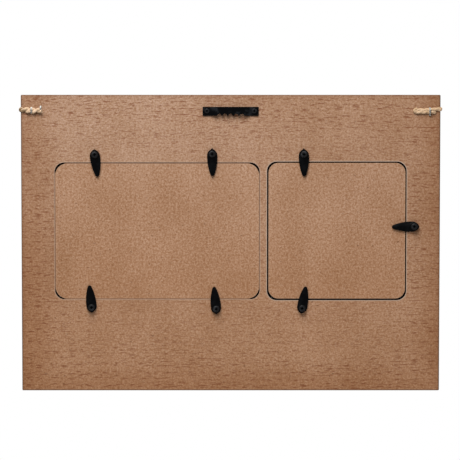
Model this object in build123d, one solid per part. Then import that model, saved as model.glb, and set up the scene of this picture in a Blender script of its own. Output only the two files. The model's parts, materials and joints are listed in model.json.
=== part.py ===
from build123d import *
import math
import os
from typing import NamedTuple

# A collage photo frame for a landscape print and a square print, to hang on a wall.
# Sizes are in millimetres and angles in degrees. +Z is up and the front faces -Y.
# The origin is where a wall hook bears: the middle notch of the hanger, on the plane of the rear face.
# Places on the frame are given as seen from the rear: right of the middle, and up from the hook.

# Prints and the stack of flat pieces that fills a pocket
landscape_photo_width = 152.4
landscape_photo_height = 101.6
square_photo_width = 101.6
square_photo_height = 101.6
photo_thickness = 0.3
glass_thickness = 2.0
door_thickness = 3.0
stack_slack = 0.2

# Pockets in the rear panel, and the board left round them
landscape_pocket_side_room = 3.2
landscape_pocket_end_room = 2.2
square_pocket_side_room = 3.15
square_pocket_end_room = 2.9
pocket_corner_radius = 7.2
pocket_web = 6.0
landscape_side_margin = 26.1
square_side_margin = 26.2
top_margin = 51.8
bottom_margin = 70.8

# Front panel
front_thickness = 6.0
window_cover = 6.35
window_corner_radius = 3.0
window_bevel = 1.6

# Edges of both panels
panel_corner_radius = 0.8
panel_edge_bevel = 0.4
cut_edge_bevel = 0.2

# Doors, with the gaps round them as seen from the rear
landscape_door_corner_extra = 2.1
square_door_corner_extra = 0.7
landscape_door_gap = 0.15
landscape_door_top_gap = 0.5
square_door_left_gap = 0.8
square_door_right_gap = 0.55
square_door_bottom_gap = 0.9
square_door_top_gap = 0.65

# Turn buttons, measured from the screw
button_tip_reach = 17.1
button_nib_reach = 4.6
button_nib_width = 1.3
button_back_reach = 3.85
button_nape_back = 1.9
button_nape_width = 6.0
button_shoulder_forward = 0.1
button_shoulder_width = 7.85
button_belly_forward = 7.0
button_belly_width = 7.4
button_tip_width = 2.86
button_tip_length = 1.0
button_edge_height = 1.1
button_ridge_height = 2.1
button_boss_diameter = 6.4
button_running_gap = 0.1

# Screws of the turn buttons
screw_diameter = 2.9
screw_running_room = 0.05
screw_head_diameter = 5.4
screw_head_height = 1.8
screw_head_round = 1.1
screw_recess_length = 2.6
screw_recess_width = 0.7
screw_recess_depth = 0.9
screw_socket_diameter = 1.6
screw_socket_depth = 1.2

# Sawtooth hanger and its nails
hook_below_top = 14.65
hanger_height = 6.95
hanger_thickness = 0.8
hanger_end_length = 6.3
hanger_ramp_length = 4.7
hanger_bridge_length = 21.4
hanger_bridge_rise = 1.7
notch_radius = 1.6
notch_pitch = 4.4
notch_count = 5
nail_from_end = 3.4
nail_above_middle = 0.3
nail_diameter = 1.6
nail_head_diameter = 4.0
nail_head_height = 1.0
nail_head_round = 0.6
nail_dimple_diameter = 1.6
nail_dimple_depth = 0.8

# Fixings in the board
pilot_room = 0.05
fixing_cover = 0.5
cut_past = 1.0  # how far a hole's cutter runs past the face

# Twine over the front and its staples
twine_diameter = 2.8
twine_room = 0.3
twine_bend_share = 0.45  # of the shorter run beside a bend, which the bend's arc may take
staple_wire_width = 1.2
staple_wire_thickness = 0.9
staple_rise = 2.0


class TurnButton(NamedTuple):
    """Where one turn button stands, seen from the rear."""

    pocket: str
    side: str
    end: int  # of that side of the pocket: -1 the left or lower one, 1 the other, 0 its middle
    offset: float  # from that end to the screw, to the right or up
    stand_off: float  # from the pocket's edge out to the screw
    lean: float  # of the blade from square to the pocket's edge, anticlockwise


turn_buttons = {
    "turn_button_landscape_top_outer": TurnButton("landscape", "top", -1, 31.1, 6.2, 7.1),
    "turn_button_landscape_top_inner": TurnButton("landscape", "top", 1, -36.7, 6.7, 0.8),
    "turn_button_landscape_bottom_outer": TurnButton("landscape", "bottom", -1, 28.3, 6.4, 5.9),
    "turn_button_landscape_bottom_inner": TurnButton("landscape", "bottom", 1, -33.7, 7.6, 5.4),
    "turn_button_square_top": TurnButton("square", "top", -1, 28.35, 5.8, 1.1),
    "turn_button_square_bottom": TurnButton("square", "bottom", -1, 27.1, 6.45, -9.9),
    "turn_button_square_side": TurnButton("square", "right", 0, 3.45, 6.0, 0.9),
}


class Staple(NamedTuple):
    """Where one staple stands, seen from the rear."""

    side: int  # -1 at the left edge, 1 at the right
    inset: float  # from that edge
    below_top: float
    crown: float  # how long its crown is


staples = [Staple(-1, 8.3, 11.9, 5.0), Staple(-1, 15.4, 10.9, 5.0), Staple(1, 8.3, 13.0, 6.4)]

# The twine's ends on the rear face, from the cut end to the panel's edge.
# Each point is in from the edge, lifted off the face, and below the top.
twine_left_end = [(16.0, -0.2, 11.6), (10.5, -0.1, 11.9), (5.0, 0.0, 11.6)]
twine_right_end = [(19.2, -0.2, 12.0), (14.2, -0.1, 12.3), (9.4, 0.0, 12.2), (4.8, 0.0, 11.6)]
# How far below the top the twine crosses the front, and goes round the left and the right edge.
twine_below_top = 11.2
twine_left_below_top = 11.6
twine_right_below_top = 11.0
# The stretch over the front, which sags a little: shares of the half width, and how far it has dropped there.
twine_front = [
    (-0.966, 0.4),
    (-0.88, 1.0),
    (-0.72, 2.0),
    (-0.44, 3.4),
    (-0.13, 4.1),
    (0.19, 4.0),
    (0.50, 3.2),
    (0.75, 1.8),
    (0.89, 0.9),
    (0.966, 0.35),
]


class Pocket(NamedTuple):
    """A door opening in the rear panel and the print that it holds."""

    photo_width: float
    photo_height: float
    width: float
    height: float
    right: float  # of the panel's middle, at the pocket's own middle


landscape_width = landscape_photo_width + 2 * landscape_pocket_side_room
square_width = square_photo_width + 2 * square_pocket_side_room
landscape_height = landscape_photo_height + 2 * landscape_pocket_end_room
square_height = square_photo_height + 2 * square_pocket_end_room
tallest_pocket = max(landscape_height, square_height)

panel_width = landscape_side_margin + landscape_width + pocket_web + square_width + square_side_margin
panel_height = top_margin + tallest_pocket + bottom_margin
panel_middle = hook_below_top - panel_height / 2
pocket_middle = hook_below_top - top_margin - tallest_pocket / 2
rear_thickness = door_thickness + stack_slack + photo_thickness + glass_thickness
fixing_depth = rear_thickness - fixing_cover

pockets = {
    "landscape": Pocket(
        landscape_photo_width,
        landscape_photo_height,
        landscape_width,
        landscape_height,
        landscape_side_margin + landscape_width / 2 - panel_width / 2,
    ),
    "square": Pocket(
        square_photo_width,
        square_photo_height,
        square_width,
        square_height,
        panel_width / 2 - square_side_margin - square_width / 2,
    ),
}

# The rear face, looked at from behind: its x runs right, its y runs up and its z comes off the board.
rear_view = Plane(origin=(0, 0, 0), x_dir=(-1, 0, 0), z_dir=(0, 1, 0))


def board(outline, rear_face, thickness):
    """A flat board of this outline, from the height of its rear face forward."""
    return extrude(rear_view.offset(rear_face) * outline, amount=-thickness)


def on_rear(right, up, height=0):
    """A place on the rear face, with z off the board."""
    return rear_view.location * Pos(right, up, height)


def standing(radius, low, high):
    """An upright cylinder between two heights."""
    return Pos(0, 0, low) * Cylinder(radius, high - low, align=(Align.CENTER, Align.CENTER, Align.MIN))


def panel_outline():
    return Pos(0, panel_middle) * RectangleRounded(panel_width, panel_height, panel_corner_radius)


def rear_panel():
    """The raw board with a pocket for each stack and a hole for each fixing."""
    outline = panel_outline()
    for pocket in pockets.values():
        outline -= Pos(pocket.right, pocket_middle) * RectangleRounded(
            pocket.width, pocket.height, pocket_corner_radius
        )
    panel = board(outline, 0, rear_thickness)
    rear_face = panel.faces().sort_by(Axis.Y)[-1]
    cut_edges = [edge for wire in rear_face.inner_wires() for edge in wire.edges()]
    panel = chamfer(cut_edges, cut_edge_bevel)
    outer_edges = panel.faces().sort_by(Axis.Y)[-1].outer_wire().edges()
    panel = chamfer(outer_edges, panel_edge_bevel)
    for button in turn_buttons.values():
        panel -= button_place(button) * standing(screw_diameter / 2 + pilot_room, -fixing_depth, cut_past)
    for place in nail_places():
        panel -= place * standing(nail_diameter / 2 + pilot_room, -fixing_depth, cut_past)
    for staple in staples:
        panel -= staple_place(staple) * staple_legs(staple.crown, pilot_room)
    return panel


def front_panel():
    """The finished board, with a bevelled window over each print."""
    outline = panel_outline()
    for pocket in pockets.values():
        outline -= Pos(pocket.right, pocket_middle) * RectangleRounded(
            pocket.photo_width - 2 * window_cover,
            pocket.photo_height - 2 * window_cover,
            window_corner_radius,
        )
    panel = board(outline, -rear_thickness, front_thickness)
    front_face = panel.faces().sort_by(Axis.Y)[0]
    window_edges = [edge for wire in front_face.inner_wires() for edge in wire.edges()]
    panel = chamfer(window_edges, window_bevel)
    outer_edges = panel.faces().sort_by(Axis.Y)[0].outer_wire().edges()
    return chamfer(outer_edges, panel_edge_bevel)


def door(pocket, corner_extra, left_gap, right_gap, bottom_gap, top_gap):
    """A lift-out door, flush with the rear face, with its own gap at each side of its pocket."""
    right = pocket.right + (left_gap - right_gap) / 2
    up = pocket_middle + (bottom_gap - top_gap) / 2
    outline = Pos(right, up) * RectangleRounded(
        pocket.width - left_gap - right_gap,
        pocket.height - bottom_gap - top_gap,
        pocket_corner_radius + corner_extra,
    )
    panel = board(outline, 0, door_thickness)
    return chamfer(panel.faces().sort_by(Axis.Y)[-1].edges(), cut_edge_bevel)


def stack_middle(pocket):
    """How high the pane and the print lie: their square corners rest on the pocket's round ones."""
    side_room = (pocket.width - pocket.photo_width) / 2
    inside = max(pocket_corner_radius - side_room, 0)
    seat = pocket_corner_radius - math.sqrt(pocket_corner_radius**2 - inside**2)
    return pocket_middle - pocket.height / 2 + seat + stack_slack / 2 + pocket.photo_height / 2


def pane(pocket):
    """The glass, flat against the front panel."""
    outline = Pos(pocket.right, stack_middle(pocket)) * Rectangle(pocket.photo_width, pocket.photo_height)
    return board(outline, glass_thickness - rear_thickness, glass_thickness)


def photo(pocket):
    """The print, flat against the glass."""
    outline = Pos(pocket.right, stack_middle(pocket)) * Rectangle(pocket.photo_width, pocket.photo_height)
    return board(outline, photo_thickness + glass_thickness - rear_thickness, photo_thickness)


def button_place(button):
    """The place of a button's screw, turned so that x runs along the blade."""
    pocket = pockets[button.pocket]
    half_width = pocket.width / 2
    half_height = pocket.height / 2
    from_left = button.end * half_width + button.offset
    from_below = button.end * half_height + button.offset
    right, up, blade = {
        "top": (from_left, half_height + button.stand_off, -90),
        "bottom": (from_left, -half_height - button.stand_off, 90),
        "right": (half_width + button.stand_off, from_below, 180),
    }[button.side]
    place = on_rear(pocket.right + right, pocket_middle + up)
    return place * Rot(0, 0, blade + button.lean)


def turn_button():
    """A moulded leaf with a ridge along it and a flat boss round its screw hole, lying along x."""
    nib = (-button_nib_reach, 0)
    back = (-button_back_reach, button_nib_width / 2)
    nape = (-button_nape_back, button_nape_width / 2)
    shoulder = (button_shoulder_forward, button_shoulder_width / 2)
    belly = (button_belly_forward, button_belly_width / 2)
    tip_start = (button_tip_reach - button_tip_length, button_tip_width / 2)
    tip_end = (tip_start[0], -tip_start[1])
    head = Line(nib, back) + ThreePointArc(back, nape, shoulder)
    side = head + ThreePointArc(shoulder, belly, tip_start)
    tip = ThreePointArc(tip_start, (button_tip_reach, 0), tip_end)
    outline = make_face(side + tip + mirror(side, Plane.XZ))
    blade = extrude(outline, button_ridge_height)
    slope = 2 * (button_ridge_height - button_edge_height) / button_belly_width
    eave = button_ridge_height / slope
    roof = make_face(Polyline((-eave, 0), (eave, 0), (0, button_ridge_height), close=True))
    length = button_nib_reach + button_tip_reach
    gable = extrude(Plane.YZ.offset(-button_nib_reach) * roof, length)
    boss = standing(button_boss_diameter / 2, 0, button_ridge_height)
    leaf = (blade & gable) + boss
    hole = standing(screw_diameter / 2 + screw_running_room, -cut_past, button_ridge_height + cut_past)
    return Pos(0, 0, button_running_gap) * (leaf - hole)


def button_screw():
    """A pan-head screw with a cross recess round a deeper socket, standing in the board."""
    seat = button_ridge_height + 2 * button_running_gap
    head_top = seat + screw_head_height
    shank = standing(screw_diameter / 2, -fixing_depth, seat)
    head = standing(screw_head_diameter / 2, seat, head_top)
    head = fillet(head.edges().group_by(Axis.Z)[-1], screw_head_round)
    for turn in (0, 90):
        slot = Box(screw_recess_length, screw_recess_width, 2 * screw_recess_depth)
        head -= Pos(0, 0, head_top) * Rot(0, 0, turn) * slot
    head -= standing(screw_socket_diameter / 2, head_top - screw_socket_depth, head_top + cut_past)
    return shank + head


def sawtooth_hanger():
    """A bridged steel strip whose lower edge has round notches for the wall hook."""
    bridge = hanger_bridge_length / 2
    ramp = bridge + hanger_ramp_length
    end = ramp + hanger_end_length
    under = [(-end, 0), (-ramp, 0), (-bridge, hanger_bridge_rise)]
    under += [(-right, rise) for right, rise in reversed(under)]
    over = [(right, rise + hanger_thickness) for right, rise in reversed(under)]
    section = make_face(Polyline(*under, *over, close=True))
    strip = extrude(Plane.XY.offset(-notch_radius) * section, hanger_height)
    for place in range(notch_count):
        right = (place - (notch_count - 1) / 2) * notch_pitch
        notch = standing(notch_radius, 0, hanger_bridge_rise + 2 * hanger_thickness)
        strip -= on_rear(right, -notch_radius) * notch
    for place in nail_places():
        strip -= place * standing(nail_diameter / 2 + pilot_room, -cut_past, hanger_thickness + cut_past)
    return strip


def nail_places():
    right = hanger_bridge_length / 2 + hanger_ramp_length + hanger_end_length - nail_from_end
    up = hanger_height / 2 - notch_radius + nail_above_middle
    return [on_rear(-right, up), on_rear(right, up)]


def hanger_nail():
    """A round-headed nail with a dimple in its head."""
    shank = standing(nail_diameter / 2, -fixing_depth, hanger_thickness)
    head_top = hanger_thickness + nail_head_height
    head = standing(nail_head_diameter / 2, hanger_thickness, head_top)
    head = fillet(head.edges().group_by(Axis.Z)[-1], nail_head_round)
    head -= standing(nail_dimple_diameter / 2, head_top - nail_dimple_depth, head_top + cut_past)
    return shank + head


def staple_place(staple):
    right = staple.side * (panel_width / 2 - staple.inset)
    return on_rear(right, hook_below_top - staple.below_top)


def staple_legs(crown, room=0):
    """The two legs, or with room, the slots that they stand in."""
    width = staple_wire_width + 2 * room
    thickness = staple_wire_thickness + 2 * room
    legs = Part()
    for side in (-1, 1):
        up = side * (crown - staple_wire_thickness) / 2
        leg = Box(width, thickness, fixing_depth + staple_rise, align=(Align.CENTER, Align.CENTER, Align.MIN))
        legs += Pos(0, up, -fixing_depth) * leg
    return legs


def twine_staple(crown):
    """A wire staple whose crown runs upright across the twine."""
    bar = Box(
        staple_wire_width,
        crown,
        staple_wire_thickness,
        align=(Align.CENTER, Align.CENTER, Align.MIN),
    )
    return staple_legs(crown) + Pos(0, 0, staple_rise) * bar


def twine_points():
    """The twine's middle, from its end at the rear left, round the front, to its end at the rear right."""
    edge = panel_width / 2
    lift = twine_diameter / 2 + twine_room
    front = -rear_thickness - front_thickness - lift
    points = [(inset - edge, lift + rise, below) for inset, rise, below in twine_left_end]
    points += [(-edge - lift, lift, twine_left_below_top), (-edge - lift, front, twine_left_below_top)]
    points += [(share * edge, front, twine_below_top + drop) for share, drop in twine_front]
    points += [(edge + lift, front, twine_right_below_top), (edge + lift, lift, twine_right_below_top)]
    points += [(edge - inset, lift + rise, below) for inset, rise, below in reversed(twine_right_end)]
    return [Vector(-right, back, hook_below_top - below) for right, back, below in points]


def twine_radii(points):
    """As large an arc at each point as its runs allow, but one twine thickness round the panel's edges."""
    radii = []
    for before, here, after in zip(points, points[1:], points[2:]):
        turn = math.radians((here - before).get_angle(after - here))
        run = min((here - before).length, (after - here).length)
        widest = twine_bend_share * run / math.tan(turn / 2)
        round_edge = abs(here.X) > panel_width / 2
        radii.append(min(twine_diameter, widest) if round_edge else widest)
    return radii


def front_twine():
    """The twine as a plain tube along its whole route."""
    points = twine_points()
    radii = twine_radii(points)
    path = FilletPolyline(*points, radius=radii)
    section = Plane(path @ 0, z_dir=path % 0) * Circle(twine_diameter / 2)
    tube = sweep(section, path=path)
    expected = math.pi * twine_diameter**2 / 4 * path.length
    print("twine radii", [round(radius, 1) for radius in radii])
    print("twine length", round(path.length, 1), "volume share", round(tube.volume / expected, 4))
    return tube


def build():
    """Every node of the frame by name."""
    nodes = {
        "front_panel": front_panel(),
        "rear_panel": rear_panel(),
        "landscape_door": door(
            pockets["landscape"],
            landscape_door_corner_extra,
            landscape_door_gap,
            landscape_door_gap,
            landscape_door_gap,
            landscape_door_top_gap,
        ),
        "square_door": door(
            pockets["square"],
            square_door_corner_extra,
            square_door_left_gap,
            square_door_right_gap,
            square_door_bottom_gap,
            square_door_top_gap,
        ),
        "sawtooth_hanger": sawtooth_hanger(),
        "hanger_nails": Compound([place * hanger_nail() for place in nail_places()]),
        "twine_staples": Compound([staple_place(staple) * twine_staple(staple.crown) for staple in staples]),
        "front_twine": front_twine(),
    }
    for name, pocket in pockets.items():
        nodes[name + "_glazing"] = pane(pocket)
        nodes[name + "_photo"] = photo(pocket)
    screws = []
    for name, button in turn_buttons.items():
        nodes[name] = button_place(button) * turn_button()
        screws.append(button_place(button) * button_screw())
    nodes["button_screws"] = Compound(screws)
    return nodes


os.makedirs("parts", exist_ok=True)
for node, shape in build().items():
    export_step(shape, f"parts/{node}.step")
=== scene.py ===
import json
import math
import random

import bpy
from mathutils import Matrix, Vector


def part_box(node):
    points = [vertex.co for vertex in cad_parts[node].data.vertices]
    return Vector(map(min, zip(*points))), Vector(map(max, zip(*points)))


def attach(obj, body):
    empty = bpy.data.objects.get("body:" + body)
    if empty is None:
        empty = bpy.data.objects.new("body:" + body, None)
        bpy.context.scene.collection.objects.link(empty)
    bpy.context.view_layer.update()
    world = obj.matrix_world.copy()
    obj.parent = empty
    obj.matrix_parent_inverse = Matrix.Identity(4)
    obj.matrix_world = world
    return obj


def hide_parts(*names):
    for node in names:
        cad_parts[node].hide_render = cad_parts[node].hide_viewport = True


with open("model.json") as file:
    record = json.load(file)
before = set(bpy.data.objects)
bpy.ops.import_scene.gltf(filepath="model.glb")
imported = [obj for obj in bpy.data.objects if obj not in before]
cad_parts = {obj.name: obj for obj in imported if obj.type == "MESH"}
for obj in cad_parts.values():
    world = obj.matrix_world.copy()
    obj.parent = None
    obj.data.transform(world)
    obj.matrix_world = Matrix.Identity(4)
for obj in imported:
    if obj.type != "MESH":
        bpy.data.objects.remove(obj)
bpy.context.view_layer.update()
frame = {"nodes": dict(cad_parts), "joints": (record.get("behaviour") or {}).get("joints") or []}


# Front panel: one board with a bevelled window over each print, glued to the face of the rear panel.
# It is plain wood under a thin white wash, which sank into the grain and has worn off along the edges; the
# back, which shows only at the bottom of the gaps round the doors, is painted near black as shade in those
# gaps.
MM = 0.001
wash = (0.66, 0.63, 0.57, 1)
wash_in_grain = (0.47, 0.42, 0.35, 1)
bare_wood = (0.25, 0.165, 0.10, 1)
gap_floor_shade = (0.010, 0.006, 0.004, 1)
wash_wear = 0.85
wash_wear_width = 2.2 * MM
wash_wear_start = -0.9 * MM
wash_wear_end = 0.1 * MM
panel_corner = 0.8 * MM
window_corner = 3.0 * MM
window_cover = 6.35 * MM


def new_material(name, sockets):
    """A node material with plain values on its shader's own sockets."""
    material = bpy.data.materials.new(name)
    material.use_nodes = True
    shader = material.node_tree.nodes["Principled BSDF"]
    for socket, value in sockets.items():
        shader.inputs[socket].default_value = value
    return material, material.node_tree, shader


def feed(tree, socket, value):
    """Links a node's output to a socket, or sets a plain value on it."""
    if isinstance(value, bpy.types.NodeSocket):
        tree.links.new(value, socket)
    else:
        socket.default_value = value


def add_node(tree, kind, sockets=None, **settings):
    """A node with its settings made and its sockets fed."""
    node = tree.nodes.new(kind)
    for setting, value in settings.items():
        setattr(node, setting, value)
    for socket, value in (sockets or {}).items():
        feed(tree, node.inputs[socket], value)
    return node


def place_on_object(tree):
    """The point of the surface in the frame's own axes, in metres."""
    return add_node(tree, "ShaderNodeTexCoord").outputs["Object"]


def noise(tree, place, per_metre, detail=3.0, roughness=0.55):
    """Noise with this many features a metre along x, y and z."""
    stretched = add_node(tree, "ShaderNodeMapping", {"Vector": place, "Scale": per_metre})
    sockets = {"Vector": stretched.outputs[0], "Scale": 1.0, "Detail": detail, "Roughness": roughness}
    return add_node(tree, "ShaderNodeTexNoise", sockets).outputs[0]


def band(tree, value, low, high, start=0.0, end=1.0):
    """Runs smoothly from start to end while a value goes from low to high."""
    sockets = {"Value": value, "From Min": low, "From Max": high, "To Min": start, "To Max": end}
    return add_node(tree, "ShaderNodeMapRange", sockets, interpolation_type="SMOOTHSTEP").outputs[0]


def mixed(tree, share, first, second, blend="MIX"):
    """A share of the second colour over the first."""
    sockets = {0: share, 6: first, 7: second}
    return add_node(tree, "ShaderNodeMix", sockets, data_type="RGBA", blend_type=blend).outputs[2]


def maths(tree, operation, *values):
    """One step of arithmetic on numbers."""
    return add_node(tree, "ShaderNodeMath", dict(enumerate(values)), operation=operation).outputs[0]


def vector_maths(tree, operation, *values):
    """One step of arithmetic on vectors."""
    return add_node(tree, "ShaderNodeVectorMath", dict(enumerate(values)), operation=operation).outputs[0]


def length_of(tree, vector):
    return add_node(tree, "ShaderNodeVectorMath", {0: vector}, operation="LENGTH").outputs["Value"]


def axes_of(tree, vector):
    """The x, y and z of a vector."""
    return add_node(tree, "ShaderNodeSeparateXYZ", {"Vector": vector}).outputs


def folded_about(tree, place, low, high):
    """How far a point lies from the middle of a box, along x, y and z, whichever way."""
    return vector_maths(tree, "ABSOLUTE", vector_maths(tree, "SUBTRACT", place, (low + high) / 2))


def past_outline(tree, place, low, high, radius):
    """How far a point lies outside a rounded rectangle seen from the front; negative inside it."""
    half = (high - low) / 2
    straight = (half.x - radius, 1.0, half.z - radius)
    to_corner = vector_maths(tree, "SUBTRACT", folded_about(tree, place, low, high), straight)
    beyond = length_of(tree, vector_maths(tree, "MAXIMUM", to_corner, (0, 0, 0)))
    across, _, up = axes_of(tree, to_corner)
    within = maths(tree, "MINIMUM", maths(tree, "MAXIMUM", across, up), 0.0)
    return maths(tree, "SUBTRACT", maths(tree, "ADD", beyond, within), radius)


def inside_outline(tree, place, low, high, radius):
    """How far a point lies inside a rounded rectangle seen from the front."""
    return maths(tree, "MULTIPLY", past_outline(tree, place, low, high, radius), -1.0)


def facing_rear(tree, low, high, normal="True Normal"):
    """Runs from 0 to 1 as the surface turns to the rear."""
    direction = add_node(tree, "ShaderNodeNewGeometry").outputs[normal]
    return band(tree, axes_of(tree, direction)[1], low, high)


def bump(tree, shader, height, strength, depth):
    """Makes the surface rise and fall with a value, by about a depth."""
    sockets = {"Height": height, "Strength": strength, "Distance": depth}
    tree.links.new(add_node(tree, "ShaderNodeBump", sockets).outputs[0], shader.inputs["Normal"])


def finish_node(node, material):
    """Gives a piece of the frame its finish."""
    for material_slot in frame["nodes"][node].material_slots:
        material_slot.material = material


def grain_lines(tree, place):
    """1 along the wood's rings and pores, 0 between them."""
    along_grain = add_node(tree, "ShaderNodeMapping", {"Vector": place, "Scale": (0.09, 0.6, 1.0)})
    sockets = {
        "Vector": along_grain.outputs[0],
        "Scale": 34.0,
        "Distortion": 7.0,
        "Detail": 3.0,
        "Detail Scale": 1.1,
    }
    rings = add_node(tree, "ShaderNodeTexWave", sockets, bands_direction="Z").outputs[1]
    patches = noise(tree, place, (9, 30, 26), 3.0)
    ringed = maths(tree, "MULTIPLY", band(tree, rings, 0.45, 0.95), band(tree, patches, 0.3, 0.62))
    pores = noise(tree, place, (70, 300, 1500), 4.0, 0.6)
    return maths(tree, "MAXIMUM", ringed, band(tree, pores, 0.56, 0.68))


def worn_edges(tree, place):
    """How far the wash has worn off, raggedly, along the panel's outline and round its windows."""
    low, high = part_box("front_panel")
    inside = inside_outline(tree, place, low, high, panel_corner)
    cover = Vector((window_cover, 0, window_cover))
    for print_node in ("landscape_photo", "square_photo"):
        print_low, print_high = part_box(print_node)
        from_window = past_outline(tree, place, print_low + cover, print_high - cover, window_corner)
        inside = maths(tree, "MINIMUM", inside, from_window)
    ragged = maths(tree, "MULTIPLY", noise(tree, place, (160, 400, 400), 4.0, 0.65), wash_wear_width)
    left_over = maths(tree, "SUBTRACT", inside, ragged)
    return band(tree, left_over, wash_wear_start, wash_wear_end, wash_wear, 0.0)


def washed_wood():
    material, tree, shader = new_material("white_washed_wood", {"Specular IOR Level": 0.35})
    place = place_on_object(tree)
    lines = grain_lines(tree, place)
    streaks = noise(tree, place, (6, 200, 420), 3.0)
    streaked = mixed(tree, band(tree, streaks, 0.4, 0.65, 0.0, 0.4), wash, wash_in_grain)
    washed = mixed(tree, lines, streaked, wash_in_grain)
    worn = mixed(tree, worn_edges(tree, place), washed, bare_wood)
    # The back is painted near black as shade at the bottom of the gaps round the doors.
    on_back = facing_rear(tree, 0.5, 0.9)
    tree.links.new(mixed(tree, on_back, worn, gap_floor_shade), shader.inputs["Base Color"])
    satin = band(tree, lines, 0.0, 1.0, 0.55, 0.8)
    tree.links.new(maths(tree, "MAXIMUM", satin, on_back), shader.inputs["Roughness"])
    bump(tree, shader, maths(tree, "SUBTRACT", 1.0, lines), 0.35, 0.25 * MM)
    return material


finish_node("front_panel", washed_wood())


# Rear panel: raw wood-fibre board, left as it came from the press, with a pocket sawn out for each print.
# Its face is mottled with fibres and bits of bark and crossed by rows of short dashes. It is redder towards
# the bottom, and paler and greyer at the top as a painted sheen of the lamp; painted light pales its upper
# left corner, painted shade darkens its upper right corner and its margins, and a patch at the left is
# darker. Its sawn rims are darker; the pockets' walls are painted dark as shade in the gaps round the doors,
# with a painted highlight on their rims.
# The sheet runs from the bottom colour to the top one; the top's paler, greyer tone is a painted sheen of the
# lamp.
board_fibre_low = (0.367, 0.193, 0.104, 1)
board_fibre_high = (0.372, 0.216, 0.134, 1)
board_speck_contrast = 0.34
# How much the specks change the board's red, green and blue.
speck_shares = (0.70, 1.0, 1.40)
bark_brown = (0.120, 0.050, 0.022, 1)
pale_fibre_and_edge_highlight = (0.520, 0.340, 0.225, 1)
dash_brown = (0.180, 0.058, 0.022, 1)
dash_strength = 0.78
dash_margin = 12 * MM
dash_fade = 45 * MM
# The sheet is a little paler at its upper left corner, a painted light, and darker at its upper right, a
# painted shade, seen from the rear.
upper_right_shade_tint = (0.94, 0.90, 0.85, 1)
upper_left_light_tint = (1.06, 1.10, 1.15, 1)
# Painted shade darkens the two sides, the left one further in, and the bottom; a narrow band along the two
# sides and the top is darker too.
margin_shade_tint = (0.85, 0.775, 0.695, 1)
margin_shade_width = 28 * MM
margin_shade_left_extra = 8 * MM
narrow_band_tint = (0.86, 0.83, 0.81, 1)
narrow_band_width = 4.5 * MM
# A darker patch at the left, on the panel and the landscape door alike.
left_patch_tint = (0.83, 0.78, 0.71, 1)
left_patch_middle = Vector((0.132, 0, -0.118))
left_patch_reach = Vector((0.021, 1, 0.060))
# A dark line that the saw has left on the face, along the two sides and the bottom.
rim_brown = (0.110, 0.055, 0.028, 1)
rim_strength = 0.9
rim_start = 0.4 * MM
rim_width = 1.0 * MM
sawn_brown = (0.150, 0.075, 0.040, 1)
# The walls of each pocket and the edges of its door: the square ones painted near black all round and the
# others in their corners, as shade in the gaps round the doors.
edge_colours_and_gap_shade = {"landscape_door": (0.260, 0.142, 0.088, 1), "square_door": (0.005, 0.003, 0.002, 1)}
cut_edge_bevel = 0.2 * MM
corner_gap_shade = (0.008, 0.005, 0.003, 1)
corner_shade_fade = 0.5 * MM
# A painted highlight: a paler band along the rim of each pocket and round each door.
edge_highlight_shares = {"landscape_door": 0.5, "square_door": 0.95}
edge_highlight_pale = (0.470, 0.350, 0.270, 1)
edge_highlight_width = 1.0 * MM
pocket_corner = 7.2 * MM
pocket_wall = 0.5 * MM
# The gaps round each door in its pocket, in millimetres as seen from the rear: left, right, bottom and top.
door_gaps = {"landscape_door": (0.15, 0.15, 0.15, 0.5), "square_door": (0.8, 0.55, 0.9, 0.65)}
board_low, board_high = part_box("rear_panel")


def speckled(tree, colour, value, contrast):
    """A colour made paler where a noise is high, and darker and redder where it is low."""
    dark = [1 - contrast * share for share in speck_shares]
    pale = [1 + contrast * share for share in speck_shares]
    tint = mixed(tree, band(tree, value, 0.2, 0.8), (*dark, 1), (*pale, 1))
    return mixed(tree, 1.0, colour, tint, "MULTIPLY")


def left_patch(tree, place):
    """1 in the middle of the darker patch, fading to 0 round it."""
    from_middle = vector_maths(tree, "SUBTRACT", place, left_patch_middle)
    shares = vector_maths(tree, "DIVIDE", from_middle, left_patch_reach)
    return band(tree, length_of(tree, shares), 0.0, 1.0, 1.0, 0.0)


def fibreboard(name, low_fibre, high_fibre, specks_per_metre, contrast):
    """Pressed wood fibre: redder low down and paler at the top as a painted sheen of the lamp, with a darker
    patch at the left, faintly clouded, with specks, bits of bark and fine fibres.
    """
    material, tree, shader = new_material(name, {"Specular IOR Level": 0.12})
    place = place_on_object(tree)
    # Paler and greyer towards the top: a painted sheen of the lamp.
    up = band(tree, axes_of(tree, place)[2], board_low.z, board_high.z)
    colour = mixed(tree, up, low_fibre, high_fibre)
    colour = mixed(tree, left_patch(tree, place), colour, left_patch_tint, "MULTIPLY")
    clouds = noise(tree, place, (26, 26, 18), 3.0)
    specks = noise(tree, place, specks_per_metre, 3.0, 0.6)
    flecks = noise(tree, place, (900, 900, 900), 2.0, 0.5)
    colour = speckled(tree, colour, clouds, 0.38 * contrast)
    colour = speckled(tree, colour, specks, contrast)
    colour = speckled(tree, colour, flecks, 0.7 * contrast)
    bark = noise(tree, vector_maths(tree, "ADD", place, (3, 1, 2)), (420, 700, 640), 1.0, 0.4)
    colour = mixed(tree, band(tree, bark, 0.66, 0.76, 0.0, 0.6), colour, bark_brown)
    hairs = maths(tree, "ABSOLUTE", maths(tree, "SUBTRACT", noise(tree, place, (170, 220, 240), 2.0), 0.5))
    colour = mixed(tree, band(tree, hairs, 0.014, 0.004, 0.0, 0.3), colour, pale_fibre_and_edge_highlight)
    return material, tree, shader, place, colour, maths(tree, "ADD", specks, flecks)


def facing_sideways(tree):
    """1 on the sawn edges, 0 on the board's two faces."""
    normal = add_node(tree, "ShaderNodeNewGeometry").outputs["True Normal"]
    return band(tree, maths(tree, "ABSOLUTE", axes_of(tree, normal)[1]), 0.97, 0.72)


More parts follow.
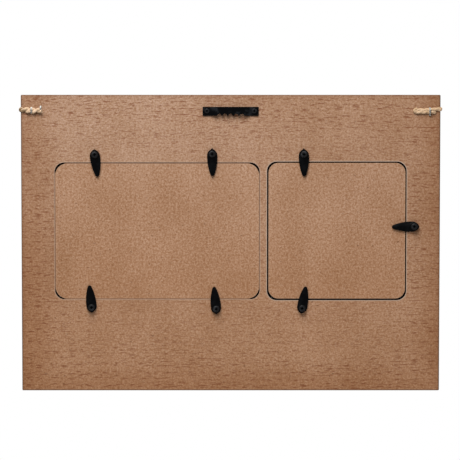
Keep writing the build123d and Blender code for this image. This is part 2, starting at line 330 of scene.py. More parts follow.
def cut_edge(tree, place, door_node):
    """The sawn edges of a door and its pocket, with painted shade, near black, in the corners."""
    low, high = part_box(door_node)
    straight = (high - low) / 2 - Vector((pocket_corner, 0, pocket_corner))
    past_straight = vector_maths(tree, "SUBTRACT", folded_about(tree, place, low, high), straight)
    across, _, up = axes_of(tree, past_straight)
    turning = band(tree, maths(tree, "MINIMUM", across, up), -corner_shade_fade, corner_shade_fade)
    return mixed(tree, turning, edge_colours_and_gap_shade[door_node], corner_gap_shade)


def dashes_along(tree, place):
    """Short dark dashes in broken rows, fewer of them away from the outer edges."""
    rows = noise(tree, place, (8, 200, 300), 2.0)
    dashes = noise(tree, place, (150, 300, 900), 2.0, 0.5)
    inside = inside_outline(tree, place, board_low, board_high, panel_corner)
    crowded = band(tree, inside, dash_margin, dash_fade, 1.0, 0.55)
    wanted = maths(tree, "MULTIPLY", band(tree, rows, 0.38, 0.52), band(tree, dashes, 0.50, 0.66))
    return maths(tree, "MULTIPLY", wanted, crowded)


def painted_corner_light(tree, place):
    """A tint of painted light and shade that changes slowly between the sheet's two upper corners."""
    from_middle = vector_maths(tree, "SUBTRACT", place, (board_low + board_high) / 2)
    across, _, up = axes_of(tree, vector_maths(tree, "DIVIDE", from_middle, (board_high - board_low) / 2))
    to_corner = maths(tree, "MULTIPLY", across, maths(tree, "MAXIMUM", up, 0.0))
    return mixed(tree, band(tree, to_corner, -0.8, 0.8), upper_right_shade_tint, upper_left_light_tint)


def with_margin_shade(tree, place, colour):
    """The face with painted shade on its margins and a narrow darker band: each outline is widened past the
    edge that it leaves clean.
    """
    left_up = Vector((-margin_shade_left_extra, 0, margin_shade_width))
    from_margin = inside_outline(tree, place, board_low, board_high + left_up, panel_corner)
    margin_shade = band(tree, from_margin, 0.0, margin_shade_width, 1.0, 0.0)
    down = Vector((0, 0, narrow_band_width))
    from_narrow_band = inside_outline(tree, place, board_low - down, board_high, panel_corner)
    narrow_band = band(tree, from_narrow_band, 0.0, narrow_band_width, 1.0, 0.0)
    colour = mixed(tree, margin_shade, colour, margin_shade_tint, "MULTIPLY")
    return mixed(tree, narrow_band, colour, narrow_band_tint, "MULTIPLY")


def sawn_rim(tree, place):
    """How dark the saw has left the edge of the face."""
    up = Vector((0, 0, 2 * rim_width))
    from_rim = inside_outline(tree, place, board_low, board_high + up, panel_corner)
    return band(tree, from_rim, rim_start, rim_width, rim_strength, 0.0)


def raw_panel():
    material, tree, shader, place, colour, height = fibreboard(
        "raw_fibreboard", board_fibre_low, board_fibre_high, (520, 560, 640), board_speck_contrast
    )
    dashes = dashes_along(tree, place)
    # Painted light at the upper left corner and painted shade at the upper right.
    colour = mixed(tree, 1.0, colour, painted_corner_light(tree, place), "MULTIPLY")
    # Painted shade on the margins, and a narrow darker band along the sides and the top.
    colour = with_margin_shade(tree, place, colour)
    colour = mixed(tree, maths(tree, "MULTIPLY", dashes, dash_strength), colour, dash_brown)
    cut = sawn_brown
    for door_node, (left, right, bottom, top) in door_gaps.items():
        door_low, door_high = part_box(door_node)
        pocket_low = door_low - Vector((right, 0, bottom)) * MM
        pocket_high = door_high + Vector((left, 0, top)) * MM
        from_pocket = past_outline(tree, place, pocket_low, pocket_high, pocket_corner)
        # A painted highlight along the pocket's rim.
        share = edge_highlight_shares[door_node]
        painted_edge_share = band(tree, from_pocket, cut_edge_bevel, cut_edge_bevel + edge_highlight_width, share, 0.0)
        colour = mixed(tree, painted_edge_share, colour, edge_highlight_pale)
        on_wall = band(tree, from_pocket, 2 * pocket_wall, pocket_wall)
        # The pocket walls carry painted shade for the gaps round the doors.
        cut = mixed(tree, on_wall, cut, cut_edge(tree, place, door_node))
    colour = mixed(tree, sawn_rim(tree, place), colour, rim_brown)
    sideways = facing_sideways(tree)
    tree.links.new(mixed(tree, sideways, colour, cut), shader.inputs["Base Color"])
    dry = band(tree, dashes, 0.0, 1.0, 0.62, 0.8)
    tree.links.new(maths(tree, "MAXIMUM", dry, sideways), shader.inputs["Roughness"])
    bump(tree, shader, maths(tree, "SUBTRACT", height, dashes), 0.4, 0.12 * MM)
    return material


finish_node("rear_panel", raw_panel())


# Panes: two sheets of plain float glass, cut square and laid flat against the front panel inside each pocket.
# They are clear with a trace of green, and plain light falls through them onto the prints.
pane_tint = (0.955, 0.985, 0.97, 1)


def clear_glass():
    sockets = {"Base Color": pane_tint, "Transmission Weight": 1.0, "IOR": 1.5}
    material, tree, shader = new_material("float_glass", sockets)
    smears = noise(tree, place_on_object(tree), (25, 25, 40), 3.0)
    tree.links.new(band(tree, smears, 0.45, 0.75, 0.015, 0.07), shader.inputs["Roughness"])
    lets_light_through = add_node(tree, "ShaderNodeBsdfTransparent", {"Color": pane_tint})
    rays = add_node(tree, "ShaderNodeLightPath").outputs
    light_rays = maths(tree, "MAXIMUM", rays["Is Shadow Ray"], rays["Is Diffuse Ray"])
    sockets = {0: light_rays, 1: shader.outputs[0], 2: lets_light_through.outputs[0]}
    either = add_node(tree, "ShaderNodeMixShader", sockets)
    tree.links.new(either.outputs[0], tree.nodes["Material Output"].inputs["Surface"])
    return material


pane_glass = clear_glass()
for pane_node in ("landscape_glazing", "square_glazing"):
    finish_node(pane_node, pane_glass)


# Prints: one landscape and one square sheet of satin photo paper behind the panes, bowed a hair by the doors.
# Each shows a plain view of hills under a pale sky; the paper's back is bare white.
print_gap = 0.05 * MM
print_bow = 0.08 * MM
print_columns = 24
print_rows = 16
paper_white = (0.80, 0.79, 0.76, 1)
crest_softness = 0.003
hill_shade = 0.82
# The sky, the haze low down, and the hills from the farthest to the nearest: height, unevenness and colour.
print_views = {
    "landscape_photo": (
        (0.42, 0.55, 0.66, 1),
        (0.80, 0.74, 0.64, 1),
        [
            (0.52, 0.30, (0.40, 0.47, 0.50, 1)),
            (0.40, 0.34, (0.24, 0.33, 0.32, 1)),
            (0.24, 0.30, (0.13, 0.20, 0.14, 1)),
        ],
    ),
    "square_photo": (
        (0.62, 0.60, 0.60, 1),
        (0.86, 0.70, 0.54, 1),
        [
            (0.46, 0.22, (0.50, 0.42, 0.42, 1)),
            (0.34, 0.26, (0.33, 0.24, 0.22, 1)),
            (0.20, 0.22, (0.17, 0.12, 0.10, 1)),
        ],
    ),
}


def add_piece(name, vertices, faces, material, body, slot):
    """A mesh piece that moves with a body of the frame."""
    mesh = bpy.data.meshes.new(name)
    mesh.from_pydata([tuple(vertex) for vertex in vertices], [], faces)
    mesh.materials.append(material)
    mesh.shade_smooth()
    piece = bpy.data.objects.new(name, mesh)
    bpy.context.scene.collection.objects.link(piece)
    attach(piece, body)
    return piece


def hill_print(name, low, high, sky, haze, hills):
    """Layers of hills under a sky, on the front of the paper."""
    material, tree, shader = new_material(name, {"Roughness": 0.38, "Specular IOR Level": 0.4})
    place = place_on_object(tree)
    height = maths(tree, "DIVIDE", maths(tree, "SUBTRACT", axes_of(tree, place)[2], low.z), high.z - low.z)
    colour = mixed(tree, band(tree, height, 0.45, 1.0), haze, sky)
    for layer, (crest, unevenness, tone) in enumerate(hills):
        along = vector_maths(tree, "ADD", place, (layer * 0.37, 0, 0))
        flat = vector_maths(tree, "MULTIPLY", along, (1, 0, 0))
        rise = maths(tree, "SUBTRACT", noise(tree, flat, (16 + 7 * layer, 1, 1), 4.0), 0.5)
        edge = maths(tree, "MULTIPLY_ADD", rise, unevenness, crest)
        below = band(tree, maths(tree, "SUBTRACT", edge, height), -crest_softness, crest_softness)
        lit = mixed(tree, band(tree, noise(tree, place, (60, 60, 160), 4.0), 0.35, 0.7), tone, haze)
        colour = mixed(tree, below, colour, mixed(tree, hill_shade, lit, tone))
    on_back = facing_rear(tree, -0.5, 0.5)
    tree.links.new(mixed(tree, on_back, colour, paper_white), shader.inputs["Base Color"])
    bump(tree, shader, noise(tree, place, (1500, 1500, 1500), 2.0), 0.05, 0.05 * MM)
    return material


def bowed_sheet(low, high, columns, rows):
    """A closed thin sheet that swells towards the rear in its middle."""
    vertices = []
    for depth in (low.y + print_gap, high.y):
        for row in range(rows + 1):
            for column in range(columns + 1):
                across = column / columns
                up = row / rows
                bow = print_bow * math.sin(math.pi * across) * math.sin(math.pi * up)
                x = low.x + (high.x - low.x) * across
                z = low.z + (high.z - low.z) * up
                vertices.append((x, depth + bow, z))
    side = (rows + 1) * (columns + 1)
    faces = []
    for row in range(rows):
        for column in range(columns):
            corner = row * (columns + 1) + column
            quad = [corner, corner + 1, corner + columns + 2, corner + columns + 1]
            faces.append(quad)
            faces.append([side + index for index in reversed(quad)])
    rim = list(range(columns + 1))
    rim += [row * (columns + 1) + columns for row in range(1, rows + 1)]
    rim += [rows * (columns + 1) + column for column in range(columns - 1, -1, -1)]
    rim += [row * (columns + 1) for row in range(rows - 1, 0, -1)]
    for here, after in zip(rim, rim[1:] + rim[:1]):
        faces.append([after, here, side + here, side + after])
    return vertices, faces


for print_node, view in print_views.items():
    print_low, print_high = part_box(print_node)
    paper = hill_print(print_node + "_paper", print_low, print_high, *view)
    sheet = bowed_sheet(print_low, print_high, print_columns, print_rows)
    print_piece = add_piece(print_node + "_sheet", *sheet, paper, "frame", "print")
    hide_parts(print_node)


# Doors: two lift-out boards that close the pockets, flush with the rear face, their corners rounded. They are
# cut from a slightly paler sheet of the same pressed fibre, with finer, even specks and no dashes. Their tops
# are paler and greyer as a painted sheen of the lamp, a painted highlight runs round their edges, and the
# square one's edge is painted near black all round as shade in its gaps, the landscape one's only in its
# corners.
# The top colour is paler and greyer, a painted sheen of the lamp, as on the panel.
door_fibre_low = (0.366, 0.186, 0.096, 1)
door_fibre_high = (0.373, 0.211, 0.127, 1)
door_speck_contrast = 0.36
door_edge_highlight = 0.35
door_corners = {"landscape_door": 9.3 * MM, "square_door": 7.9 * MM}


def smooth_door(door_node):
    material, tree, shader, place, colour, height = fibreboard(
        door_node + "_fibreboard", door_fibre_low, door_fibre_high, (560, 560, 560), door_speck_contrast
    )
    low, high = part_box(door_node)
    inside = inside_outline(tree, place, low, high, door_corners[door_node])
    # A painted highlight round the door's edge.
    colour = mixed(tree, band(tree, inside, 0.0, edge_highlight_width, door_edge_highlight, 0.0), colour, pale_fibre_and_edge_highlight)
    sideways = facing_sideways(tree)
    # The door's edges carry painted shade for the gaps round it.
    edges = cut_edge(tree, place, door_node)
    tree.links.new(mixed(tree, sideways, colour, edges), shader.inputs["Base Color"])
    tree.links.new(band(tree, sideways, 0.0, 1.0, 0.62, 1.0), shader.inputs["Roughness"])
    bump(tree, shader, height, 0.35, 0.1 * MM)
    return material


for door_node in ("landscape_door", "square_door"):
    finish_node(door_node, smooth_door(door_node))


# Hanger: a sawtooth strip of thin steel, bridged off the board and nailed at both ends, for a wall hook.
# It is pressed, painted black and a little scuffed; its round nails have a dimple in the head.
hanger_black = (0.0012, 0.0013, 0.0016, 1)
hanger_scuff = (0.016, 0.017, 0.019, 1)
fixing_black = (0.0040, 0.0040, 0.0045, 1)
fixing_scuff = (0.030, 0.032, 0.036, 1)
recess_shade = (0.0008, 0.0008, 0.0008, 1)
hanger_scuffs_per_metre = 160
hanger_shine = 0.03
fixing_scuffs_per_metre = 420
nail_shine = 0.14
# How far the floor of a recess in a head stands off the board, and how far above it the painted shade, near
# black, ends.
no_recess = -1.0
nail_dimple_floor = 1.0 * MM
recess_full = 0.2 * MM
recess_end = 0.4 * MM


def black_metal(name, black, scuff, scuffs_per_metre, shine, recess_floor):
    """Black paint over steel, with soft grey scuffs, and painted shade, near black, on the floor of a recess
    in a head.
    """
    material, tree, shader = new_material(name, {"Specular IOR Level": shine})
    place = place_on_object(tree)
    scuffs = noise(tree, place, (scuffs_per_metre,) * 3, 4.0, 0.6)
    grit = noise(tree, place, (2500, 2500, 2500), 2.0)
    worn = band(tree, scuffs, 0.5, 0.75)
    # Painted shade, near black, in the recess of a head.
    in_recess = band(tree, axes_of(tree, place)[1], recess_floor + recess_end, recess_floor + recess_full)
    colour = mixed(tree, in_recess, mixed(tree, worn, black, scuff), recess_shade)
    tree.links.new(colour, shader.inputs["Base Color"])
    polish = band(tree, scuffs, 0.35, 0.7, 0.30, 0.45)
    tree.links.new(maths(tree, "MAXIMUM", polish, in_recess), shader.inputs["Roughness"])
    bump(tree, shader, grit, 0.15, 0.04 * MM)
    return material


hanger_paint = black_metal(
    "black_painted_steel", hanger_black, hanger_scuff, hanger_scuffs_per_metre, hanger_shine, no_recess
)
nail_steel = black_metal(
    "black_nail_steel", fixing_black, fixing_scuff, fixing_scuffs_per_metre, nail_shine, nail_dimple_floor
)
finish_node("sawtooth_hanger", hanger_paint)
finish_node("hanger_nails", nail_steel)


# Turn buttons: seven leaf-shaped catches that swing over the doors, each on one pan-head screw.
# They are moulded in black plastic with a soft ridge along the blade; the screws are blackened steel.
button_back = Vector((-3.85, 0.65)) * MM
button_nape = Vector((-1.9, 3.0)) * MM
button_shoulder = Vector((0.1, 3.925)) * MM
button_belly = Vector((7.0, 3.7)) * MM
button_tip_start = Vector((16.1, 1.43)) * MM
button_tip = 17.1 * MM
button_lift = 0.1 * MM
button_edge_height = 1.1 * MM
button_ridge_height = 2.1 * MM
button_ridge_softness = 0.5 * MM
button_fall_start = 6 * MM
button_tip_height = 1.6 * MM
button_hole_radius = 1.5 * MM
button_edge_round = 0.4 * MM
button_foot = 0.15 * MM
# The flat boss round the screw: its size, how it runs out, and the most of the way to the edge that it takes.
button_boss_radius = 3.2 * MM
button_boss_skirt = 0.3 * MM
button_boss_slope = 0.5 * MM
button_boss_share = 0.55
# The steps along each stretch of the outline.
tip_steps = 12
side_steps = 30
head_steps = 14
nib_steps = 3
# Where the rings of the mesh lie over the boss and then from it to the edge, and round the edge in degrees.
boss_rings = (0.0, 0.3, 0.625)
blade_rings = (0.0, 0.25, 0.5, 0.75, 1.0)
edge_turns = (30, 60, 90)
button_black = (0.0010, 0.0010, 0.0012, 1)
button_sheen = (0.0030, 0.0032, 0.0036, 1)
screw_shine = 0.12
screw_recess_floor = 3.2 * MM
# Which way each blade points, seen from the rear, and how far its moulding nib stands out behind the screw.
button_leaves = {
    "turn_button_landscape_top_outer": (-82.9, 4.2 * MM),
    "turn_button_landscape_top_inner": (-89.2, 5.0 * MM),
    "turn_button_landscape_bottom_outer": (95.9, 4.3 * MM),
    "turn_button_landscape_bottom_inner": (95.4, 4.45 * MM),
    "turn_button_square_top": (-88.9, 4.9 * MM),
    "turn_button_square_bottom": (80.1, 4.3 * MM),
    "turn_button_square_side": (180.9, 4.2 * MM),
}


def arc_through(start, middle, end, count):
    """Points along the circle through three points, without the last."""
    first, second = middle - start, end - start
    cross = 2 * (first.x * second.y - first.y * second.x)
    centre_x = (second.y * first.length_squared - first.y * second.length_squared) / cross
    centre_y = (first.x * second.length_squared - second.x * first.length_squared) / cross
    centre = start + Vector((centre_x, centre_y))
    radius = (start - centre).length
    from_angle = math.atan2(start.y - centre.y, start.x - centre.x)
    to_angle = math.atan2(end.y - centre.y, end.x - centre.x)
    angles = [from_angle + (to_angle - from_angle) * step / count for step in range(count)]
    return [centre + radius * Vector((math.cos(angle), math.sin(angle))) for angle in angles]


def leaf_outline(nib_reach):
    """The leaf's outline, anticlockwise from the tip round the nib and back."""
    below = Vector((button_tip_start.x, -button_tip_start.y))
    tip = arc_through(below, Vector((button_tip, 0)), button_tip_start, tip_steps)
    side = arc_through(button_shoulder, button_belly, button_tip_start, side_steps)
    upper = [button_tip_start] + side[:0:-1]
    nib = Vector((-nib_reach, 0))
    head = arc_through(button_back, button_nape, button_shoulder, head_steps)
    nib_run = [button_back.lerp(nib, step / nib_steps) for step in range(1, nib_steps)]
    half = upper + [button_shoulder] + head[::-1] + nib_run
    lower = [Vector((point.x, -point.y)) for point in reversed(half[1:])]
    return tip[1:] + half + [nib] + lower + [below]


def clamped(share):
    return min(1.0, max(0.0, share))


def drawn_in(point, inset):
    """A point of the outline moved towards the screw."""
    return point - point.normalized() * inset


def leaf_height(point):
    """The moulded top: a soft ridge that falls to the tip, and a flat boss round the screw."""
    slope = (button_ridge_height - button_edge_height) / button_belly.y
    fall = max(0.0, (point.x - button_fall_start) / (button_tip - button_fall_start))
    ridge = button_ridge_height - (button_ridge_height - button_tip_height) * fall**2
    roof = ridge - slope * (math.hypot(point.y, button_ridge_softness) - button_ridge_softness)
    rise = clamped((button_boss_radius + button_boss_skirt - point.length) / button_boss_slope)
    return roof + (button_ridge_height - roof) * rise * rise * (3 - 2 * rise)


def leaf_mesh(nib_reach):
    """Rings from the screw hole over the top, round the edge and back under."""
    outline = leaf_outline(nib_reach)
    holes = [point.normalized() * button_hole_radius for point in outline]
    rims = [drawn_in(point, button_edge_round) for point in outline]
    bosses = []
    for point, rim in zip(outline, rims):
        room = button_boss_share * (rim.length - button_hole_radius)
        bosses.append(point.normalized() * min(button_boss_radius, button_hole_radius + room))
    spots = [[hole.lerp(boss, share) for hole, boss in zip(holes, bosses)] for share in boss_rings]
    spots += [[boss.lerp(rim, share) for boss, rim in zip(bosses, rims)] for share in blade_rings]
    rings = [[(*spot, leaf_height(spot)) for spot in ring] for ring in spots]
    for turn in edge_turns:
        inset = button_edge_round * (1 - math.sin(math.radians(turn)))
        drop = button_edge_round * (1 - math.cos(math.radians(turn)))
        edge = [(*drawn_in(point, inset), leaf_height(rim) - drop) for point, rim in zip(outline, rims)]
        rings.append(edge)
    for inset, height in ((0.0, button_foot), (button_foot, 0.0)):
        rings.append([(*drawn_in(point, inset), height) for point in outline])
    rings.append([(*hole, 0.0) for hole in holes])
    vertices = [Vector(vertex) for ring in rings for vertex in ring]
    count = len(outline)
    faces = []
    for ring in range(len(rings)):
        start, above = ring * count, (ring + 1) % len(rings) * count
        for here in range(count):
            after = (here + 1) % count
            faces.append([start + here, above + here, above + after, start + after])
    return vertices, faces


def moulded_plastic():
    material, tree, shader = new_material("black_moulded_plastic", {"Specular IOR Level": 0.03})
    place = place_on_object(tree)
    sheen = noise(tree, place, (300, 300, 300), 3.0)
    colour = mixed(tree, band(tree, sheen, 0.4, 0.7), button_black, button_sheen)
    tree.links.new(colour, shader.inputs["Base Color"])
    tree.links.new(band(tree, sheen, 0.3, 0.7, 0.32, 0.48), shader.inputs["Roughness"])
    bump(tree, shader, noise(tree, place, (4000, 4000, 4000), 2.0), 0.12, 0.03 * MM)
    return material


def seen_from_rear(angle):
    """Turns a piece that lies along x, with z up, onto the rear face, by an angle seen from the rear."""
    onto_rear = Matrix(((-1, 0, 0), (0, 0, 1), (0, 1, 0)))
    return onto_rear.to_4x4() @ Matrix.Rotation(math.radians(angle), 4, "Z")


button_plastic = moulded_plastic()
pivots = {joint["child"]: Vector(joint["pos_m"]) for joint in frame["joints"]}
for button_node, (blade_angle, nib_reach) in button_leaves.items():
    pivot = pivots[button_node] + Vector((0, button_lift, 0))
    onto_board = Matrix.Translation(pivot) @ seen_from_rear(blade_angle)
    leaf_vertices, leaf_faces = leaf_mesh(nib_reach)
    placed = [onto_board @ vertex for vertex in leaf_vertices]
    leaf = add_piece(button_node + "_leaf", placed, leaf_faces, button_plastic, button_node, "button_plastic")
    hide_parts(button_node)
screw_steel = black_metal(
    "black_screw_steel", fixing_black, fixing_scuff, fixing_scuffs_per_metre, screw_shine, screw_recess_floor
)
finish_node("button_screws", screw_steel)


# Twine: two plies of jute, laid loosely together, strung once across the front and stapled down on the rear.
# It is thick and thin as hand-spun cord is, and drawn flat round the panel's sides; its cut left end has come
# apart, and its right end, thinner and closer laid, is doubled back under the staple.
twine_lift = 1.6 * MM
twine_side_room = 0.95 * MM
twine_skin = 0.05 * MM
least_step = 0.6 * MM
# How flat the twine is drawn on the panel's sides and rear, flattest from the edge to a little way in.
side_flatness = 0.52
rear_flatness = 0.62
edge_flatness = 0.36
edge_flat_start = 1 * MM
edge_flat_reach = 5 * MM
# How the twine swells again beside a staple's crown, or lies over it.
staple_hold = 0.7 * MM
staple_reach = 2.4 * MM
staple_swell = 1.6 * MM
over_crown = 0.76
over_crown_start = 0.5 * MM
# The two plies, how they are laid, and their unevenness.
ply_radius = 0.97 * MM
ply_spread = 0.70 * MM
ply_sides = 36
ply_ridges = 9
ridge_depth = 0.14
twine_lay = 9.4 * MM
fibre_lay = 14 * MM
lay_at_left_cut = 1.34
lay_at_tail = 0.4
lay_drift = 0.3
lay_drift_length = 30 * MM
lay_settled = 40 * MM
lump_share = 0.10
lump_length = 9 * MM
cut_taper = 0.3 * MM
cut_share = 0.1
# Loose fibres, and those of the frayed cut; a pair gives the least and the most, in millimetres.
hair_radius = 0.045 * MM
hair_clearance = 3 * twine_skin
hair_taper = 0.6
hair_root = 0.95 * MM
hair_steps = 5
hair_span = 3
hair_bend = (-1.2, 1.2)
hair_length = (1.2, 4.5)
hair_rise = (0.3, 1.3)
fray_steps = 4
fray_span = 4
fray_roots = 6
fray_off = (-0.6, 1.5)
fray_up = (-1.9, 1.3)
fray_length = (0.8, 2.6)
# How far a frayed fibre leans off the board and upwards, in shares of its length.
fray_lean_off = (-0.25, 0.35)
fray_lean_up = (-0.7, 0.35)
jute = (0.56, 0.38, 0.225, 1)
jute_pale = (0.82, 0.62, 0.47, 1)
jute_dark = (0.22, 0.135, 0.060, 1)
jute_underside_shade = (0.16, 0.095, 0.040, 1)
jute_weathered = (0.88, 0.84, 0.76, 1)
# The right end is weathered from these shares of the half width; near the left edge the painted shade on the
# twine's underside reaches further up.
weathered_from = 0.80
weathered_full = 0.86
edge_shade_from = 4.5 * MM
edge_shade_full = 1.5 * MM
panel_low, panel_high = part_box("front_panel")
panel_edge = panel_high.x
twine_front_y = panel_low.y - twine_lift
# Each end on the rear face, from its cut or fold, in millimetres: in from the edge, up, and below the top.
twine_left_end = [(16.3, -0.2, 12.1), (10.5, -0.1, 12.7), (2.2, 0.0, 11.5)]
twine_right_end = [(18.8, -0.3, 11.8), (14.0, -0.3, 11.8), (9.4, -0.2, 11.8), (2.2, 0.0, 11.2)]
twine_tail = [
    (17.6, -0.4, 11.4),
    (19.7, -0.3, 10.8),
    (20.4, -0.2, 12.4),
    (19.4, -0.3, 13.4),
    (15.0, -0.4, 13.4),
    (10.0, -0.4, 13.35),
    (6.0, -0.5, 13.4),
    (3.2, -0.8, 13.5),
]
# The stretch round each side: millimetres off the rear face, and how far below the top at the left and right.
twine_side = [1.6, -1.6, -9.9, -13.1]
twine_left_drop = 11.6 * MM
twine_right_drop = 11.0 * MM
# The stretch across the front: shares of the half width, seen from the rear, and how far below the top.
twine_front = [
    (-0.986, 11.6),
    (-0.88, 12.2),
    (-0.72, 13.2),
    (-0.44, 14.6),
    (-0.13, 15.3),
    (0.19, 15.2),
    (0.50, 14.4),
    (0.75, 13.0),
    (0.89, 12.1),
    (0.986, 11.3),
]
# How thick the twine is against its usual size: distances from an end in millimetres, and sizes.
left_cut_sizes = [(0, 1.3), (3, 1.35), (6, 1.5), (10.5, 1.55), (14, 1.35), (18, 1.1), (25, 1.0)]
right_fold_sizes = [(0, 0.84), (10, 0.84), (14, 0.88), (20, 0.95), (30, 1.0)]
tail_start_sizes = [(0, 0.76), (6, 0.90), (30, 0.90)]
tail_tip_sizes = [(0, 0.75), (1.5, 1.0), (6, 1.0)]
# How loosely the two plies lie together, by distance from the right end in millimetres: 1 as along the front.
right_end_looseness = [(0, 0.45), (21, 0.45), (32, 1.0)]
tail_looseness = [(0, 0.45), (40, 0.45)]
# The staples are placed with the twine because it is pressed under them: side, in from the edge, below the
# top, length of the crown, how high that stands, and how far below the top it holds the twine; lower than
# that the twine lies over it.
staple_places = [
    (-1, 8.3 * MM, 11.9 * MM, 5.0 * MM, 2.0 * MM, 20 * MM),
    (-1, 15.4 * MM, 10.9 * MM, 5.0 * MM, 1.1 * MM, 9.6 * MM),
    (1, 8.3 * MM, 13.0 * MM, 6.4 * MM, 2.0 * MM, 20 * MM),
]


def on_rear_face(inset, rise, drop, side):
    """A control point on the rear face, at the left (-1) or the right (1) as seen from the rear."""
    return Vector((-side * (panel_edge - inset * MM), twine_lift + rise * MM, panel_high.z - drop * MM))


def twine_route():
    """The twine's control points from the rear left, round the front, to the rear right."""
    out = panel_edge + twine_side_room
    route = [on_rear_face(*point, -1) for point in twine_left_end]
    route += [Vector((out, off * MM, panel_high.z - twine_left_drop)) for off in twine_side]
    for share, drop in twine_front:
        route.append(Vector((-share * panel_edge, twine_front_y, panel_high.z - drop * MM)))
    route += [Vector((-out, off * MM, panel_high.z - twine_right_drop)) for off in reversed(twine_side)]
    return route + [on_rear_face(*point, 1) for point in reversed(twine_right_end)]


def smooth_line(name, route):
    """Points along the smooth curve that a route's points pull on."""
    curve = bpy.data.curves.new(name, "CURVE")
    curve.dimensions = "3D"
    spline = curve.splines.new("NURBS")
    spline.points.add(len(route) - 1)
    for point, place in zip(spline.points, route):
        point.co = (*place, 1)
    spline.order_u = 3
    spline.use_endpoint_u = True
    spline.resolution_u = 64
    holder = bpy.data.objects.new(name, curve)
    line = bpy.data.meshes.new_from_object(holder)
    dense = [vertex.co.copy() for vertex in line.vertices]
    bpy.data.objects.remove(holder)
    bpy.data.curves.remove(curve)
    bpy.data.meshes.remove(line)
    points = [dense[0]]
    for point in dense[1:]:
        if (point - points[-1]).length >= least_step:
            points.append(point)
    return points


def wander(seed, wave_length):
    """A smooth uneven value about 0 along a length, mostly within 1 of it."""
    draw = random.Random(seed)
    waves = [(wave_length * draw.uniform(0.6, 1.7), draw.uniform(0, math.tau)) for _ in range(4)]
    return lambda along: sum(math.sin(math.tau * along / length + phase) for length, phase in waves) / 2


def size_at(sizes, along):
    """The size at a distance, straight between the pairs of a list."""
    for (start, low), (end, high) in zip(sizes, sizes[1:]):
        if along <= end * MM:
            return low + (high - low) * (along / MM - start) / (end - start)
    return sizes[-1][1]


def square_frames(points):
    """Two directions square to a line at each of its points, which don't twist along it."""
    frames = []
    side = Vector((0, 0, 1))
    for index in range(len(points)):
        tangent = points[min(index + 1, len(points) - 1)] - points[max(index - 1, 0)]
        tangent.normalize()
        side = (side - side.dot(tangent) * tangent).normalized()
        frames.append((side, tangent.cross(side)))
    return frames


def close_tube(vertices, faces, rings):
    """Adds rings of points as one tube with closed ends."""
    sides = len(rings[0])
    first = len(vertices)
    for ring in rings:
        vertices.extend(ring)
    for ring in range(len(rings) - 1):
        start = first + ring * sides
        for side in range(sides):
            after = (side + 1) % sides
            faces.append([start + side, start + after, start + sides + after, start + sides + side])
    last = first + (len(rings) - 1) * sides
    faces.append([first + side for side in reversed(range(sides))])
    faces.append([last + side for side in range(sides)])


def into_board(spot):
    """How deep a point lies in the panel: below its rear face, below its front face, in from its sides."""
    return twine_skin - spot.y, spot.y - panel_low.y + twine_skin, panel_edge + twine_skin - abs(spot.x)


def height_on_rear(spot):
    """How high a point stands off the rear, drawn flat by the panel's edge, and under or over a staple."""
    from_edge = clamped((panel_edge - abs(spot.x) - edge_flat_start) / edge_flat_reach)
    height = spot.y * (edge_flatness + (rear_flatness - edge_flatness) * from_edge)
    for side, inset, _, _, rise, held_to in staple_places:
        away = abs(spot.x + side * (panel_edge - inset)) - staple_hold
        if away < staple_reach:
            swell = (max(0.0, away) / staple_reach) ** 2
            held = min(height, rise + staple_swell * swell)
            over = max(height, over_crown * spot.y * (1 - swell))
            height = held + (over - held) * clamped((panel_high.z - held_to - spot.z) / over_crown_start)
    return height


def press(spot):
    """Draws a point of the twine flat on the panel's rear and sides, and out of the board."""
    if spot.y > 0:
        spot = Vector((spot.x, height_on_rear(spot), spot.z))
    past_side = abs(spot.x) - panel_edge
    if past_side > 0:
        return Vector((math.copysign(panel_edge + side_flatness * past_side, spot.x), spot.y, spot.z))
    rear, front, side = into_board(spot)
    if min(rear, front, side) <= 0:
        return spot
    if side < min(rear, front):
        return Vector((math.copysign(panel_edge + twine_skin, spot.x), spot.y, spot.z))
    return Vector((spot.x, twine_skin if rear < front else panel_low.y - twine_skin, spot.z))


def on_circle(angle, side, up):
    """The direction at an angle round a line."""
    return math.cos(angle) * side + math.sin(angle) * up


def bundled_ring(centre, radius, twist, side, up):
    """A ring round a ply, ridged by its bundles of fibres, as it lies on the board."""
    ring = []
    for step in range(ply_sides):
        angle = math.tau * step / ply_sides
        valley = 1 - abs(math.sin(ply_ridges / 2 * angle + twist))
        reach = radius * (1 - ridge_depth * valley * valley)
        ring.append(press(centre + reach * on_circle(angle, side, up)))
    return ring


def laid_plies(points, seed, first_turn, start_sizes, end_sizes, end_looseness):
    """Two lumpy plies laid round a line, each of ridged fibre bundles that twist the other way."""
    frames = square_frames(points)
    travelled = [0.0]
    for before, here in zip(points, points[1:]):
        travelled.append(travelled[-1] + (here - before).length)
    total = travelled[-1]
    vertices, faces = [], []
    for ply in range(2):
        thick = wander(seed + ply, lump_length)
        drift = wander(seed + 10 + ply, lay_drift_length)
        rings = []
        for point, (side, up), along in zip(points, frames, travelled):
            to_end = total - along
            size = size_at(start_sizes, along) * size_at(end_sizes, to_end)
            wavering = lay_drift * clamped(along / lay_settled) * drift(along)
            turn = first_turn - math.tau * along / twine_lay + math.pi * ply + wavering
            spread = ply_spread * size_at(end_looseness, to_end)
            centre = point + spread * size * on_circle(turn, side, up)
            radius = (ply_radius + ply_spread - spread) * size * (1 + lump_share * thick(along))
            radius *= math.sqrt(min(1.0, cut_share + (1 - cut_share) * min(along, to_end) / cut_taper))
            twist = math.tau * along / fibre_lay
            rings.append(bundled_ring(centre, radius, twist, side, up))
        close_tube(vertices, faces, rings)
    return vertices, faces


